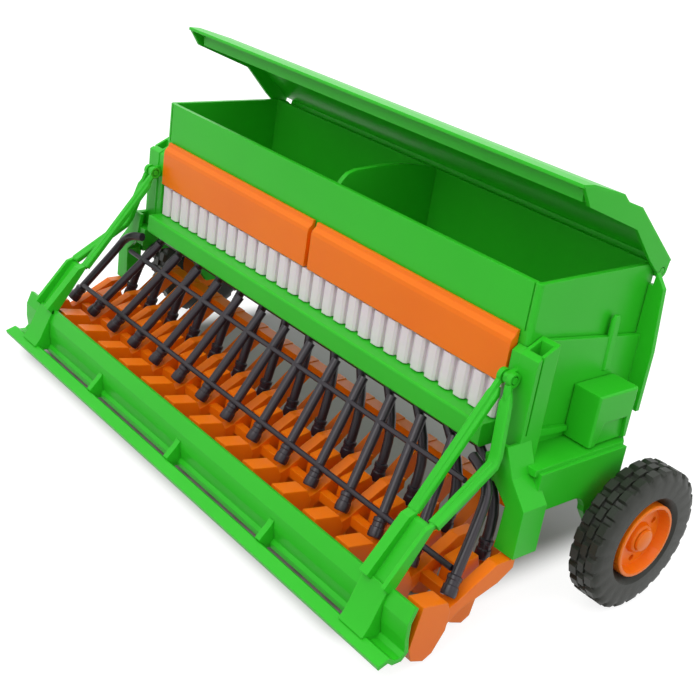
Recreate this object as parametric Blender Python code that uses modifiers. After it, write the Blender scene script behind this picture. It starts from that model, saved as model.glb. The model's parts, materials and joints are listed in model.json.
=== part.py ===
"""Toy seed drill: hopper with lid, seed tubes, coulters, rear board and two wheels.

X runs along the machine's width, +Y is the direction of travel, Z is up.
In the outlines Y is measured from the hopper's rear wall and Z from its rim.
Heights of what stands on the ground are measured from the ground instead.
"""

import math

import bmesh
import bpy
from mathutils import Matrix, Vector

GAP = 0.0003
RIM_HEIGHT = 0.0995

HOPPER_WIDTH = 0.1900
HOPPER_DEPTH = 0.0508
HOPPER_WALL = 0.0016
HOPPER_FRONT_DROP = 0.0240
HOPPER_FLOOR_DEPTH = 0.0300
HOPPER_CORNER = 0.0014
HOPPER_FLOOR_LIFT = 0.0040
GROOVE_INSET = 0.0025
GROOVE_WIDTH = 0.0006
GROOVE_DEPTH = 0.0005
DIVIDER_WALL = 0.0016
DIVIDER_RISE = 0.0029
DIVIDER_DIP = 0.0142
DIVIDER_POWER = 2.4
DIVIDER_STEPS = 14

LID_OPEN_ANGLE = math.radians(30.5)
LID_AXIS_OUT = 0.0017
LID_AXIS_DROP = 0.0022
LID_SKIN = 0.00105
LID_FLAP = 0.0012
LID_PIN_RADIUS = 0.0010
LID_EAR_RADIUS = 0.0023
LID_LUG_WIDTH = 0.0032
LID_LUG_RADIUS = 0.0019
LID_LIP_DROP = 0.0030
LID_LIP_DEPTH = 0.0049
LID_BROW = ((-0.0022, 0.0004), (0.0020, 0.0025), (0.0159, 0.0064), (0.0196, 0.0057), (0.0267, 0.0073))
LID_BACK_REACH = 0.0014
LID_BACK_RISE = 0.0044
FLAP_FRONT = ((0.0085, -0.0002), (0.0227, 0.0037))

PANEL_DROP = 0.0145
PANEL_HEIGHT = 0.0160
PANEL_DEPTH = 0.0032
PANEL_STEP = 0.0027
PANEL_INSET = 0.0035
PANEL_SPLIT = 0.0020

SLIDE_COUNT = 29
SLIDE_HEIGHT = 0.0115
SLIDE_DEPTH = 0.0030
SLIDE_SHEET = 0.0010
SLIDE_SLOT = 0.0017
SLIDE_ROUND = 0.0008

BEAM_HEIGHT = 0.0073
BEAM_DEPTH = 0.0080
BEAM_EDGE = 0.0007

TUBE_COUNT = 15
TUBE_PITCH_TOP = 0.0132
TUBE_PITCH_LOW = 0.01563
TUBE_RADIUS = 0.0016
TUBE_BAR_RADIUS = 0.0011
COLLAR_RADIUS = 0.0023
COLLAR_LENGTH = 0.0065
REAR_TUBE_ROOT_Y = -0.0070
REAR_TUBE_KNEE_Y = -0.0217
REAR_TUBE_FOOT_Y = -0.0290
REAR_TUBE_FOOT = 0.0173
FRONT_TUBE_ROOT_Y = -0.0025
FRONT_TUBE_KNEE_Y = -0.0042
FRONT_TUBE_FOOT_Y = -0.0085
FRONT_TUBE_FOOT = 0.0183
FRONT_TUBE_KNEE = 0.0360

SHOE_WIDTH = 0.0062
ARM_WIDTH = 0.0038
REAR_SHOE = (
    (-0.0415, 0.0203),
    (-0.0322, 0.0186),
    (-0.0305, 0.0150),
    (-0.0310, 0.0090),
    (-0.0347, 0.0027),
    (-0.0378, 0.0012),
    (-0.0425, 0.0030),
    (-0.0441, 0.0074),
)
REAR_ARM = (
    (-0.0330, 0.0140),
    (-0.0273, 0.0160),
    (-0.0130, 0.0238),
    (-0.0058, 0.0238),
    (-0.0058, 0.0205),
    (-0.0112, 0.0170),
    (-0.0248, 0.0129),
    (-0.0258, 0.0123),
    (-0.0345, 0.0060),
)
REAR_BAR_Y = (-0.0262, -0.0232)
REAR_BAR_TOP = 0.0163
FRONT_SHOE = (
    (-0.0210, 0.0215),
    (-0.0138, 0.0230),
    (-0.0118, 0.0170),
    (-0.0105, 0.0090),
    (-0.0120, 0.0016),
    (-0.0150, 0.0000),
    (-0.0200, 0.0020),
    (-0.0225, 0.0080),
)
FRONT_ARM = (
    (-0.0135, 0.0160),
    (-0.0060, 0.0175),
    (0.0080, 0.0290),
    (0.0140, 0.0290),
    (0.0140, 0.0250),
    (0.0060, 0.0190),
    (-0.0020, 0.0120),
    (-0.0120, 0.0060),
)
FRONT_BAR_Y = (0.0090, 0.0140)
FRONT_BAR_TOP = 0.0290
COULTER_BAR_HEIGHT = 0.0033

SIDE_PLATE = 0.0017
UPRIGHT_TOP = -0.0195
UPRIGHT_RISE = 0.0040
UPRIGHT_REAR = 0.0030
UPRIGHT_FRONT = 0.0050
UPRIGHT_WIDTH = 0.0067
UPRIGHT_INSET = 0.0030
POCKET_WALL = 0.0011
POCKET_DEPTH = 0.0080
POST_GROOVE = 0.0007
SHELF_DROP = 0.0003
SHELF_THICK = 0.0024
SKIRT_OUT = 0.0142
SKIRT_THICK = 0.0024
SKIRT_HEIGHT = 0.0140
SKIRT_FRONT = 0.0380
SKIRT_CURVE = 0.0062
FLANGE_THICK = 0.0016
FLANGE_TOP = -0.0062
FLANGE_BOTTOM = -0.0457
FLANGE_OUT = 0.0070
GUARD_REAR = 0.0080
GUARD_WALL = 0.0013
GUARD_FOOT = 0.0242
GUARD_FRONT = 0.0016
GUARD_OUT = 0.0169
WEB_DROP = 0.0070

GEARBOX_OUT = 0.0120
GEARBOX_Y = (0.0223, 0.0397)
GEARBOX_TOP = -0.0330
GEARBOX_HEIGHT = 0.0167
GEARBOX_EDGE = 0.0006

WHEEL_Y = 0.0377
WHEEL_RADIUS = 0.0232
WHEEL_GAP = 0.0040
TYRE_WIDTH = 0.0110
TYRE_SHOULDER = 0.0016
TYRE_OPENING = 0.0146
RIM_RADIUS = 0.0124
RIM_HUB_RADIUS = 0.0046
RIM_BEAD = 0.0014
RIM_DISH = 0.0034
RIM_SLOT_COUNT = 6
RIM_SLOT = 0.0022
AXLE_RADIUS = 0.0022
AXLE_CAP = 0.0014
WHEEL_STEPS = 32

BOARD_WIDTH = 0.2258
BOARD_SKIN = 0.0014
BOARD_AXIS_Y = -0.0055
BOARD_AXIS_Z = -0.0265
BOARD_EYE_RADIUS = 0.0022
BOARD_EYE_WIDTH = 0.0015
BOARD_PIN_RADIUS = 0.0011
BOARD_LUG_INSET = 0.0008
BOARD_LUG_WIDTH = 0.0016
BOARD_TOP = 0.0218
BOARD_LINE = (
    (-0.0451, 0.0000),
    (-0.0469, -0.0048),
    (-0.0468, -0.0100),
    (-0.0461, -0.0140),
    (-0.0473, -0.0153),
    (-0.0495, -0.0153),
    (-0.0514, -0.0138),
    (-0.0553, -0.0151),
)
BOARD_SLOT_Y = (-0.0500, -0.0472)
BOARD_SLOT_COUNT = 4
BOARD_RIB = 0.0020
STRAP_WIDTH = 0.0080
STRUT_RADIUS = 0.0012
ARM_TOP_Y = -0.0325
ARM_TOP_DROP = 0.0360

HITCH_BAR_DEPTH = 0.0045
HITCH_BAR_TOP = -0.0475
HITCH_BAR_HEIGHT = 0.0060
HITCH_REACH = 0.0140
HITCH_LUG_SPACING = 0.0425
HITCH_LUG_THICK = 0.0025
HITCH_PIN_RADIUS = 0.0016
HITCH_PIN_LENGTH = 0.0080
MAST_SPACING = 0.0080
MAST_THICK = 0.0020
MAST_HEIGHT = 0.0280

CIRCLE_STEPS = 24
SMOOTH_ANGLE = math.radians(35.0)
MERGE = 0.000001

GREEN = (0.060, 0.560, 0.035)
ORANGE = (0.950, 0.190, 0.012)
BLACK = (0.042, 0.034, 0.042)
WHITE = (0.820, 0.760, 0.780)
RUBBER = (0.016, 0.020, 0.014)

HOPPER_HALF = 0.5 * HOPPER_WIDTH
FLOOR = -RIM_HEIGHT
PANEL_BOTTOM = -PANEL_DROP - PANEL_HEIGHT
SLIDE_TOP = PANEL_BOTTOM - GAP
SLIDE_BOTTOM = SLIDE_TOP - SLIDE_HEIGHT
BEAM_TOP = SLIDE_BOTTOM - GAP
BEAM_BOTTOM = BEAM_TOP - BEAM_HEIGHT
HOPPER_FLOOR = BEAM_BOTTOM + HOPPER_FLOOR_LIFT
SIDE_INNER = HOPPER_HALF + GAP
SIDE_OUTER = SIDE_INNER + SIDE_PLATE
PANEL_HALF = HOPPER_HALF - UPRIGHT_INSET - 2.0 * GAP
LID_HALF = SIDE_INNER + LID_FLAP
LID_AXIS_Y = HOPPER_DEPTH + LID_AXIS_OUT
SHELF_TOP = BEAM_BOTTOM - SHELF_DROP
SKIRT_OUTER = SIDE_INNER + SKIRT_OUT
SKIRT_INNER = SKIRT_OUTER - SKIRT_THICK
AXLE_Z = FLOOR + WHEEL_RADIUS
TYRE_INNER = SKIRT_OUTER + WHEEL_GAP
TYRE_OUTER = TYRE_INNER + TYRE_WIDTH
BOARD_HALF = 0.5 * BOARD_WIDTH
BOARD_TIP_Y = BOARD_LINE[-1][0]
HITCH_BAR_Y = HOPPER_DEPTH + 0.5 * HITCH_BAR_DEPTH
HITCH_TIP_Y = HITCH_BAR_Y + HITCH_REACH
REAR_WALL_Y = -0.5 * (BOARD_TIP_Y + HITCH_TIP_Y)


def world(x, y, z):
    return Vector((x, y + REAR_WALL_Y, z + RIM_HEIGHT))


def clear_scene():
    for obj in list(bpy.data.objects):
        bpy.data.objects.remove(obj, do_unlink=True)


def new_collection(name, hidden):
    collection = bpy.data.collections.new(name)
    bpy.context.scene.collection.children.link(collection)
    collection.hide_render = hidden
    return collection


def new_material(name, colour, roughness):
    material = bpy.data.materials.new(name)
    material.use_nodes = True
    shader = material.node_tree.nodes["Principled BSDF"]
    shader.inputs["Base Color"].default_value = (*colour, 1.0)
    shader.inputs["Roughness"].default_value = roughness
    shader.inputs["Metallic"].default_value = 0.0
    material.diffuse_color = (*colour, 1.0)
    return material


def object_from(name, shape, collection):
    bmesh.ops.remove_doubles(shape, verts=shape.verts, dist=MERGE)
    bmesh.ops.recalc_face_normals(shape, faces=shape.faces)
    mesh = bpy.data.meshes.new(name)
    shape.to_mesh(mesh)
    shape.free()
    obj = bpy.data.objects.new(name, mesh)
    collection.objects.link(obj)
    return obj


def flatten_ends(shape, axis, low, high):
    """Puts the two flat ends exactly on their planes, so that pieces meet face to face."""
    middle = 0.5 * (low + high)
    for vert in shape.verts:
        vert.co[axis] = low if vert.co[axis] < middle else high


def box(name, x_span, y_span, z_span, collection):
    """Box between two corners; spans are (low, high) pairs."""
    low = world(x_span[0], y_span[0], z_span[0])
    high = world(x_span[1], y_span[1], z_span[1])
    size = high - low
    place = Matrix.Translation(0.5 * (low + high)) @ Matrix.Diagonal((*size, 1.0))
    shape = bmesh.new()
    bmesh.ops.create_cube(shape, size=1.0, matrix=place)
    for axis in range(3):
        flatten_ends(shape, axis, low[axis], high[axis])
    return object_from(name, shape, collection)


def rod_x(name, x_span, y, z, radius, collection, segments=CIRCLE_STEPS):
    """Round rod along X."""
    middle = world(0.5 * (x_span[0] + x_span[1]), y, z)
    place = Matrix.Translation(middle) @ Matrix.Rotation(0.5 * math.pi, 4, "Y")
    shape = bmesh.new()
    bmesh.ops.create_cone(
        shape,
        cap_ends=True,
        segments=segments,
        radius1=radius,
        radius2=radius,
        depth=x_span[1] - x_span[0],
        matrix=place,
    )
    flatten_ends(shape, 0, *x_span)
    return object_from(name, shape, collection)


def mesh_of(holder, collection, axis=None, ends=None):
    """Turns a curve object into a closed mesh object at the same place."""
    bpy.context.view_layer.update()
    graph = bpy.context.evaluated_depsgraph_get()
    mesh = bpy.data.meshes.new_from_object(holder.evaluated_get(graph))
    shape = bmesh.new()
    shape.from_mesh(mesh)
    shape.transform(holder.matrix_world)
    if ends:
        flatten_ends(shape, axis, *ends)
    name = holder.name.removesuffix("_curve")
    bpy.data.objects.remove(holder)
    bpy.data.meshes.remove(mesh)
    return object_from(name, shape, collection)


def curve_object(name, dimensions, lines, closed, collection):
    curve = bpy.data.curves.new(name + "_curve", "CURVE")
    curve.dimensions = dimensions
    for line in lines:
        spline = curve.splines.new("POLY")
        spline.points.add(len(line) - 1)
        spline.use_cyclic_u = closed
        for point, place in zip(spline.points, line):
            point.co = (*place, 1.0)
    holder = bpy.data.objects.new(name + "_curve", curve)
    collection.objects.link(holder)
    return holder


def thickened(name, line, turn, axis, ends, collection):
    """Filled flat curve, turned into place and given its thickness between two planes."""
    holder = curve_object(name, "2D", [line], True, collection)
    holder.data.fill_mode = "BOTH"
    holder.data.extrude = 0.5 * (ends[1] - ends[0])
    shift = Vector((0.0, 0.0, 0.0))
    shift[axis] = 0.5 * (ends[0] + ends[1])
    holder.matrix_world = Matrix.Translation(shift) @ turn.to_4x4()
    return mesh_of(holder, collection, axis, ends)


def plate(name, outline, x_span, collection):
    """Flat outline of (y, z) points, given its thickness along X."""
    line = [(*world(0.0, y, z).yz, 0.0) for y, z in outline]
    turn = Matrix(((0.0, 0.0, 1.0), (1.0, 0.0, 0.0), (0.0, 1.0, 0.0)))
    return thickened(name, line, turn, 0, x_span, collection)


def panel_across(name, outline, y_span, collection):
    """Flat outline of (x, z) points, given its thickness along Y."""
    line = [(*world(x, 0.0, z).xz, 0.0) for x, z in outline]
    turn = Matrix(((1.0, 0.0, 0.0), (0.0, 0.0, -1.0), (0.0, 1.0, 0.0)))
    ends = [world(0.0, y, 0.0).y for y in y_span]
    return thickened(name, line, turn, 1, ends, collection)


def slab(name, outline, z_span, collection):
    """Flat outline of (x, y) points, given its thickness along Z."""
    line = [(*world(x, y, 0.0).xy, 0.0) for x, y in outline]
    ends = [world(0.0, 0.0, z).z for z in z_span]
    return thickened(name, line, Matrix.Identity(3), 2, ends, collection)


def tube(name, points, radius, collection, resolution=1):
    """Round rod along (x, y, z) points."""
    lines = [[world(*point) for point in points]]
    holder = curve_object(name, "3D", lines, False, collection)
    holder.data.bevel_depth = radius
    holder.data.bevel_resolution = resolution
    holder.data.use_fill_caps = True
    return mesh_of(holder, collection)


def bent_sheet(name, line, half, thickness, collection):
    """Open surface along (y, z) points, from -half to +half in X, given a wall with Solidify."""
    shape = bmesh.new()
    points = [shape.verts.new(world(-half, y, z)) for y, z in line]
    edges = [shape.edges.new(pair) for pair in zip(points, points[1:])]
    grown = bmesh.ops.extrude_edge_only(shape, edges=edges)
    moved = [item for item in grown["geom"] if isinstance(item, bmesh.types.BMVert)]
    bmesh.ops.translate(shape, verts=moved, vec=(2.0 * half, 0.0, 0.0))
    mesh = bpy.data.meshes.new(name)
    shape.to_mesh(mesh)
    shape.free()
    obj = bpy.data.objects.new(name, mesh)
    collection.objects.link(obj)
    wall = obj.modifiers.new("wall", "SOLIDIFY")
    wall.thickness = thickness
    wall.offset = -1.0
    wall.use_even_offset = True
    return obj


def joined(name, pieces, helpers):
    """One mesh from several overlapping ones, for a union that sorts them out."""
    shape = bmesh.new()
    for piece in pieces:
        shape.from_mesh(piece.data)
        bpy.data.objects.remove(piece)
    mesh = bpy.data.meshes.new(name)
    shape.to_mesh(mesh)
    shape.free()
    obj = bpy.data.objects.new(name, mesh)
    helpers.objects.link(obj)
    return obj


def combine(base, operation, others):
    """Adds a Boolean for each other piece; a cut into joined pieces starts from flat triangles."""
    if base.modifiers and operation == "DIFFERENCE":
        facets = base.modifiers.new("facets", "TRIANGULATE")
        facets.quad_method = "BEAUTY"
    for other in others:
        other.hide_render = True
        other.display_type = "WIRE"
        modifier = base.modifiers.new(operation.lower() + "_" + other.name, "BOOLEAN")
        modifier.operation = operation
        modifier.solver = "EXACT"
        modifier.use_self = other.name.endswith("_set")
        modifier.object = other


def rounded(obj, width, segments, keep):
    """Bevels the edges whose two ends pass the test keep(vector)."""
    shape = bmesh.new()
    shape.from_mesh(obj.data)
    edges = [edge for edge in shape.edges if all(keep(vert.co) for vert in edge.verts)]
    bmesh.ops.bevel(
        shape,
        geom=edges,
        offset=width,
        offset_type="OFFSET",
        segments=segments,
        profile=0.5,
        affect="EDGES",
        clamp_overlap=True,
    )
    shape.to_mesh(obj.data)
    shape.free()


def put_origin(obj, point):
    offset = world(*point)
    obj.data.transform(Matrix.Translation(-offset))
    obj.location = offset


def finish(obj, material):
    obj.data.materials.clear()
    obj.data.materials.append(material)
    obj.data.shade_smooth()
    obj.data.set_sharp_from_angle(angle=SMOOTH_ANGLE)


def span_for(side, low, high):
    return (low, high) if side > 0 else (-high, -low)


def trough(name, collection, helpers):
    """Open hopper shell: the closed outline loses its top and gets a wall inwards."""
    outline = [
        (0.0, 0.0),
        (HOPPER_DEPTH, 0.0),
        (HOPPER_DEPTH, -HOPPER_FRONT_DROP),
        (HOPPER_FLOOR_DEPTH, HOPPER_FLOOR),
        (0.0, HOPPER_FLOOR),
    ]
    shell = plate(name + "_shell", outline, (-HOPPER_HALF, HOPPER_HALF), helpers)
    shape = bmesh.new()
    shape.from_mesh(shell.data)
    bmesh.ops.dissolve_limit(shape, angle_limit=math.radians(1.0), verts=shape.verts, edges=shape.edges)
    tops = [face for face in shape.faces if face.normal.z > 0.5]
    bmesh.ops.delete(shape, geom=tops, context="FACES")
    shape.to_mesh(shell.data)
    shape.free()
    wall = shell.modifiers.new("wall", "SOLIDIFY")
    wall.thickness = HOPPER_WALL
    wall.offset = -1.0
    wall.use_even_offset = True
    closed = settled(name, shell, collection)
    for side in (-1, 1):
        corner = world(side * HOPPER_HALF, 0.0, 0.0)
        rounded(closed, HOPPER_CORNER, 3, lambda co, at=corner: (co.xy - at.xy).length < MERGE)
    return closed


def settled(name, source, collection):
    """New object with the source's modifiers worked into its mesh."""
    bpy.context.view_layer.update()
    graph = bpy.context.evaluated_depsgraph_get()
    mesh = bpy.data.meshes.new_from_object(source.evaluated_get(graph))
    bpy.data.objects.remove(source)
    mesh.name = name
    obj = bpy.data.objects.new(name, mesh)
    collection.objects.link(obj)
    return obj


def divider_outline():
    """Arched top edge, low at both walls, between the walls' middles."""
    tip = 0.5 * HOPPER_WALL
    middle = 0.5 * HOPPER_DEPTH
    reach = middle - tip
    arch = []
    for index in range(DIVIDER_STEPS + 1):
        share = 2.0 * index / DIVIDER_STEPS - 1.0
        height = DIVIDER_RISE - DIVIDER_DIP * abs(share) ** DIVIDER_POWER
        arch.append((middle + reach * share, height))
    low = HOPPER_FLOOR + tip
    slope_end = (HOPPER_DEPTH - tip, -HOPPER_FRONT_DROP)
    return arch + [slope_end, (HOPPER_FLOOR_DEPTH - 0.5 * tip, low), (tip, low)]


def make_hopper(parts, helpers, material):
    hopper = trough("hopper", parts, helpers)
    half = 0.5 * DIVIDER_WALL
    pieces = [plate("divider", divider_outline(), (-half, half), helpers)]
    cuts = []
    for side in (-1, 1):
        lug_span = span_for(side, HOPPER_HALF - LID_LUG_WIDTH, HOPPER_HALF)
        reach = (HOPPER_DEPTH - 0.5 * HOPPER_WALL, LID_AXIS_Y)
        drop = (-LID_AXIS_DROP - LID_LUG_RADIUS, -LID_AXIS_DROP + LID_LUG_RADIUS)
        pieces.append(box(f"lid_lug_{side}", lug_span, reach, drop, helpers))
        pieces.append(rod_x(f"lid_knuckle_{side}", lug_span, LID_AXIS_Y, -LID_AXIS_DROP, LID_LUG_RADIUS, helpers))
        pin_span = span_for(side, HOPPER_HALF - 0.5 * LID_LUG_WIDTH, LID_HALF)
        pin = rod_x(f"lid_pin_{side}", pin_span, LID_AXIS_Y, -LID_AXIS_DROP, LID_PIN_RADIUS, helpers, 16)
        pieces.append(pin)
        groove = span_for(side, HOPPER_HALF - GROOVE_INSET, HOPPER_HALF - GROOVE_INSET + GROOVE_WIDTH)
        depth = (-GROOVE_DEPTH, GROOVE_DEPTH)
        height = (-PANEL_DROP, HOPPER_WALL)
        cuts.append(box(f"post_groove_{side}", groove, depth, height, helpers))
    combine(hopper, "UNION", pieces)
    combine(hopper, "DIFFERENCE", cuts)
    finish(hopper, material)


def lid_lip_line():
    """Foot and head of the lip wall under the brow, upright when the lid stands open."""
    foot = (LID_LIP_DEPTH, -LID_LIP_DROP)
    brow_y, brow_z = LID_BROW[1]
    head = (brow_y, brow_z - 0.5 * LID_SKIN)
    return foot, head


def flap_outline():
    foot, _ = lid_lip_line()
    inset = 0.4 * LID_SKIN
    top = [(y, z - inset) for y, z in LID_BROW[1:]]
    back = (LID_AXIS_Y + LID_BACK_REACH - inset, -LID_AXIS_DROP + LID_BACK_RISE - inset)
    edge = (LID_BROW[0][0] + inset, LID_BROW[0][1] - inset)
    ear = []
    for turn in range(20, -141, -20):
        angle = math.radians(turn)
        ear.append((LID_AXIS_Y + LID_EAR_RADIUS * math.cos(angle), -LID_AXIS_DROP + LID_EAR_RADIUS * math.sin(angle)))
    under = [(LID_AXIS_Y - reach, -LID_AXIS_DROP + rise) for reach, rise in FLAP_FRONT]
    return [edge] + top + [back] + ear + under + [foot]


def lid_corner_outline(head, rear):
    """Gusset between the lip wall and the brow, clear of the hopper's rim when shut."""
    edge, brow = LID_BROW[0], LID_BROW[1]
    slope = (brow[1] - edge[1]) / (brow[0] - edge[0])
    level = GAP
    low_y = edge[0] + (level + 0.6 * LID_SKIN - edge[1]) / slope
    share = (head[1] - level) / (head[1] - rear[1])
    lip_y = head[0] + share * (rear[0] - head[0])
    return [(low_y, level), (lip_y + 0.6 * LID_FLAP, level), (head[0] + 0.6 * LID_FLAP, head[1] + 0.1 * LID_SKIN), head]


def make_lid(parts, helpers, material):
    """Lid modelled shut, on an empty at its hinge that holds it open."""
    back = (LID_AXIS_Y + LID_BACK_REACH, -LID_AXIS_DROP + LID_BACK_RISE)
    line = [*LID_BROW, back]
    lid = bent_sheet("lid", line, LID_HALF - 0.5 * GAP, LID_SKIN, parts)
    foot, head = lid_lip_line()
    wall = LID_FLAP
    rear = (foot[0] + GAP, foot[1] + 2.0 * GAP)
    lip = [head, rear, (rear[0] + wall, rear[1] + 0.5 * wall), (head[0] + wall, head[1] + 0.3 * wall)]
    reach = HOPPER_HALF - HOPPER_WALL - GAP
    pieces = [plate("lid_lip", lip, (-reach, reach), helpers)]
    corner = lid_corner_outline(head, rear)
    bores = []
    for side in (-1, 1):
        flap_span = span_for(side, SIDE_INNER, LID_HALF)
        pieces.append(plate(f"lid_flap_{side}", flap_outline(), flap_span, helpers))
        return_span = span_for(side, reach - LID_FLAP, LID_HALF - 0.3 * LID_FLAP)
        pieces.append(plate(f"lid_return_{side}", corner, return_span, helpers))
        bore_span = span_for(side, SIDE_INNER - LID_FLAP, LID_HALF + LID_FLAP)
        bore = LID_PIN_RADIUS + GAP
        bores.append(rod_x(f"lid_bore_{side}", bore_span, LID_AXIS_Y, -LID_AXIS_DROP, bore, helpers, 16))
    hinge = bpy.data.objects.new("lid_hinge", None)
    parts.objects.link(hinge)
    axis = (0.0, LID_AXIS_Y, -LID_AXIS_DROP)
    hinge.location = world(*axis)
    hinge.rotation_euler.x = -LID_OPEN_ANGLE
    for obj in (lid, *pieces, *bores):
        obj.data.transform(Matrix.Translation(-world(*axis)))
        obj.parent = hinge
    combine(lid, "UNION", pieces)
    combine(lid, "DIFFERENCE", bores)
    finish(lid, material)


def panel_outline():
    """Stepped top edge over a flat face."""
    top = -PANEL_DROP
    step = 0.5 * PANEL_STEP
    return [
        (-GAP, top),
        (-GAP, PANEL_BOTTOM),
        (-PANEL_DEPTH, PANEL_BOTTOM),
        (-PANEL_DEPTH, top - PANEL_STEP - step),
        (-PANEL_DEPTH + 0.2 * step, top - PANEL_STEP),
        (-0.5 * PANEL_DEPTH, top - step),
        (-0.4 * PANEL_DEPTH, top),
    ]


def make_panels(parts, helpers, material):
    half = 0.5 * PANEL_SPLIT
    left = plate("name_panel_left", panel_outline(), (-PANEL_HALF, -half), parts)
    right = plate("name_panel_right", panel_outline(), (half, PANEL_HALF), parts)
    web_depth = (-0.4 * PANEL_DEPTH, -GAP)
    web_height = (PANEL_BOTTOM + PANEL_INSET, -PANEL_DROP - PANEL_INSET)
    web = box("panel_web", (-half + GAP, 2.0 * half), web_depth, web_height, helpers)
    combine(right, "UNION", [web])
    for panel in (left, right):
        finish(panel, material)


def make_slides(parts, helpers, material):
    """One sheet with a bar for each slide and a slot between neighbours."""
    pitch = 2.0 * PANEL_HALF / SLIDE_COUNT
    face = (-SLIDE_SHEET, -GAP)
    row = box("metering_slides", (-PANEL_HALF, PANEL_HALF), face, (SLIDE_BOTTOM, SLIDE_TOP), parts)
    half = 0.5 * (pitch - SLIDE_SLOT)
    edge = SLIDE_ROUND
    bars = []
    for index in range(SLIDE_COUNT):
        centre = -PANEL_HALF + pitch * (index + 0.5)
        outline = [
            (centre - half, -0.5 * SLIDE_SHEET),
            (centre - half, -SLIDE_DEPTH + edge),
            (centre - half + edge, -SLIDE_DEPTH),
            (centre + half - edge, -SLIDE_DEPTH),
            (centre + half, -SLIDE_DEPTH + edge),
            (centre + half, -0.5 * SLIDE_SHEET),
        ]
        ends = (SLIDE_BOTTOM + 0.5 * GAP, SLIDE_TOP - 0.5 * GAP)
        bars.append(slab(f"slide_{index}", outline, ends, helpers))
    combine(row, "UNION", [joined("slide_set", bars, helpers)])
    finish(row, material)


def make_beam(parts, material):
    face = -BEAM_DEPTH
    edge = BEAM_EDGE
    outline = [
        (-GAP, BEAM_TOP),
        (face + edge, BEAM_TOP),
        (face + 0.3 * edge, BEAM_TOP - 0.3 * edge),
        (face, BEAM_TOP - edge),
        (face, BEAM_BOTTOM + edge),
        (face + edge, BEAM_BOTTOM),
        (-GAP, BEAM_BOTTOM),
    ]
    beam = plate("metering_beam", outline, (-PANEL_HALF, PANEL_HALF), parts)
    finish(beam, material)


def collared_tube(tag, line, helpers):
    """Seed tube along its line, with a collar over its lower end."""
    low = Vector(line[-1])
    way = (Vector(line[-2]) - low).normalized()
    collar = [tuple(low + way * COLLAR_LENGTH), tuple(low)]
    inside = line[:-1] + [tuple(low + way * GAP)]
    return [
        tube(f"{tag}_tube", inside, TUBE_RADIUS, helpers),
        tube(f"{tag}_collar", collar, COLLAR_RADIUS, helpers),
    ]


def make_rear_tubes(parts, helpers, material):
    root = BEAM_BOTTOM - TUBE_RADIUS - GAP
    foot = FLOOR + REAR_TUBE_FOOT
    middle = 0.5 * (TUBE_COUNT - 1)
    pieces = []
    for index in range(TUBE_COUNT):
        top = (index - middle) * TUBE_PITCH_TOP
        low = (index - middle) * TUBE_PITCH_LOW
        line = [
            (top, REAR_TUBE_ROOT_Y, root),
            (top, REAR_TUBE_KNEE_Y + TUBE_RADIUS, root),
            (top, REAR_TUBE_KNEE_Y, root - 0.5 * TUBE_RADIUS),
            (low, REAR_TUBE_FOOT_Y, foot),
        ]
        pieces += collared_tube(f"rear_{index}", line, helpers)
    reach = middle * TUBE_PITCH_TOP + TUBE_RADIUS
    bar = rod_x("rear_tubes", (-reach, reach), REAR_TUBE_KNEE_Y, root, TUBE_BAR_RADIUS, parts, 8)
    share = 0.76
    low_y = REAR_TUBE_KNEE_Y + share * (REAR_TUBE_FOOT_Y - REAR_TUBE_KNEE_Y)
    low_z = root + share * (foot - root)
    low_reach = middle * (TUBE_PITCH_TOP + share * (TUBE_PITCH_LOW - TUBE_PITCH_TOP))
    pieces.append(rod_x("rear_low_bar", (-low_reach, low_reach), low_y, low_z, TUBE_BAR_RADIUS, helpers, 8))
    combine(bar, "UNION", [joined("rear_tube_set", pieces, helpers)])
    finish(bar, material)


def make_front_tubes(parts, helpers, material):
    root = BEAM_BOTTOM - GAP
    foot = FLOOR + FRONT_TUBE_FOOT
    count = TUBE_COUNT - 1
    middle = 0.5 * (count - 1)
    pieces = []
    for index in range(count):
        top = (index - middle) * TUBE_PITCH_TOP
        low = (index - middle) * TUBE_PITCH_LOW
        line = [
            (top, FRONT_TUBE_ROOT_Y, root),
            (top, FRONT_TUBE_ROOT_Y, root - 2.0 * TUBE_RADIUS),
            (low, FRONT_TUBE_KNEE_Y, FLOOR + FRONT_TUBE_KNEE),
            (low, FRONT_TUBE_FOOT_Y, foot),
        ]
        pieces += collared_tube(f"front_{index}", line, helpers)
    reach = middle * TUBE_PITCH_TOP + TUBE_RADIUS
    bar_z = root - 3.5 * TUBE_RADIUS
    bar = rod_x("front_tubes", (-reach, reach), FRONT_TUBE_ROOT_Y, bar_z, TUBE_BAR_RADIUS, parts, 8)
    combine(bar, "UNION", [joined("front_tube_set", pieces, helpers)])
    finish(bar, material)


def coulter(tag, x, shoe, arm, helpers):
    shoe_line = [(y, FLOOR + height) for y, height in shoe]
    arm_line = [(y, FLOOR + height) for y, height in arm]
    shoe_span = (x - 0.5 * SHOE_WIDTH, x + 0.5 * SHOE_WIDTH)
    arm_span = (x - 0.5 * ARM_WIDTH, x + 0.5 * ARM_WIDTH)
    return [
        plate(f"{tag}_shoe", shoe_line, shoe_span, helpers),
        plate(f"{tag}_arm", arm_line, arm_span, helpers),
    ]


def make_coulters(name, count, shoe, arm, bar_y, bar_top, parts, helpers, material):
    middle = 0.5 * (count - 1)
    pieces = []
    for index in range(count):
        x = (index - middle) * TUBE_PITCH_LOW
        pieces += coulter(f"{name}_{index}", x, shoe, arm, helpers)
    reach = middle * TUBE_PITCH_LOW + 0.3 * ARM_WIDTH
    top = FLOOR + bar_top - GAP
    bar = box(name, (-reach, reach), bar_y, (top - COULTER_BAR_HEIGHT, top), parts)
    combine(bar, "UNION", [joined(f"{name}_set", pieces, helpers)])
    finish(bar, material)


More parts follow.
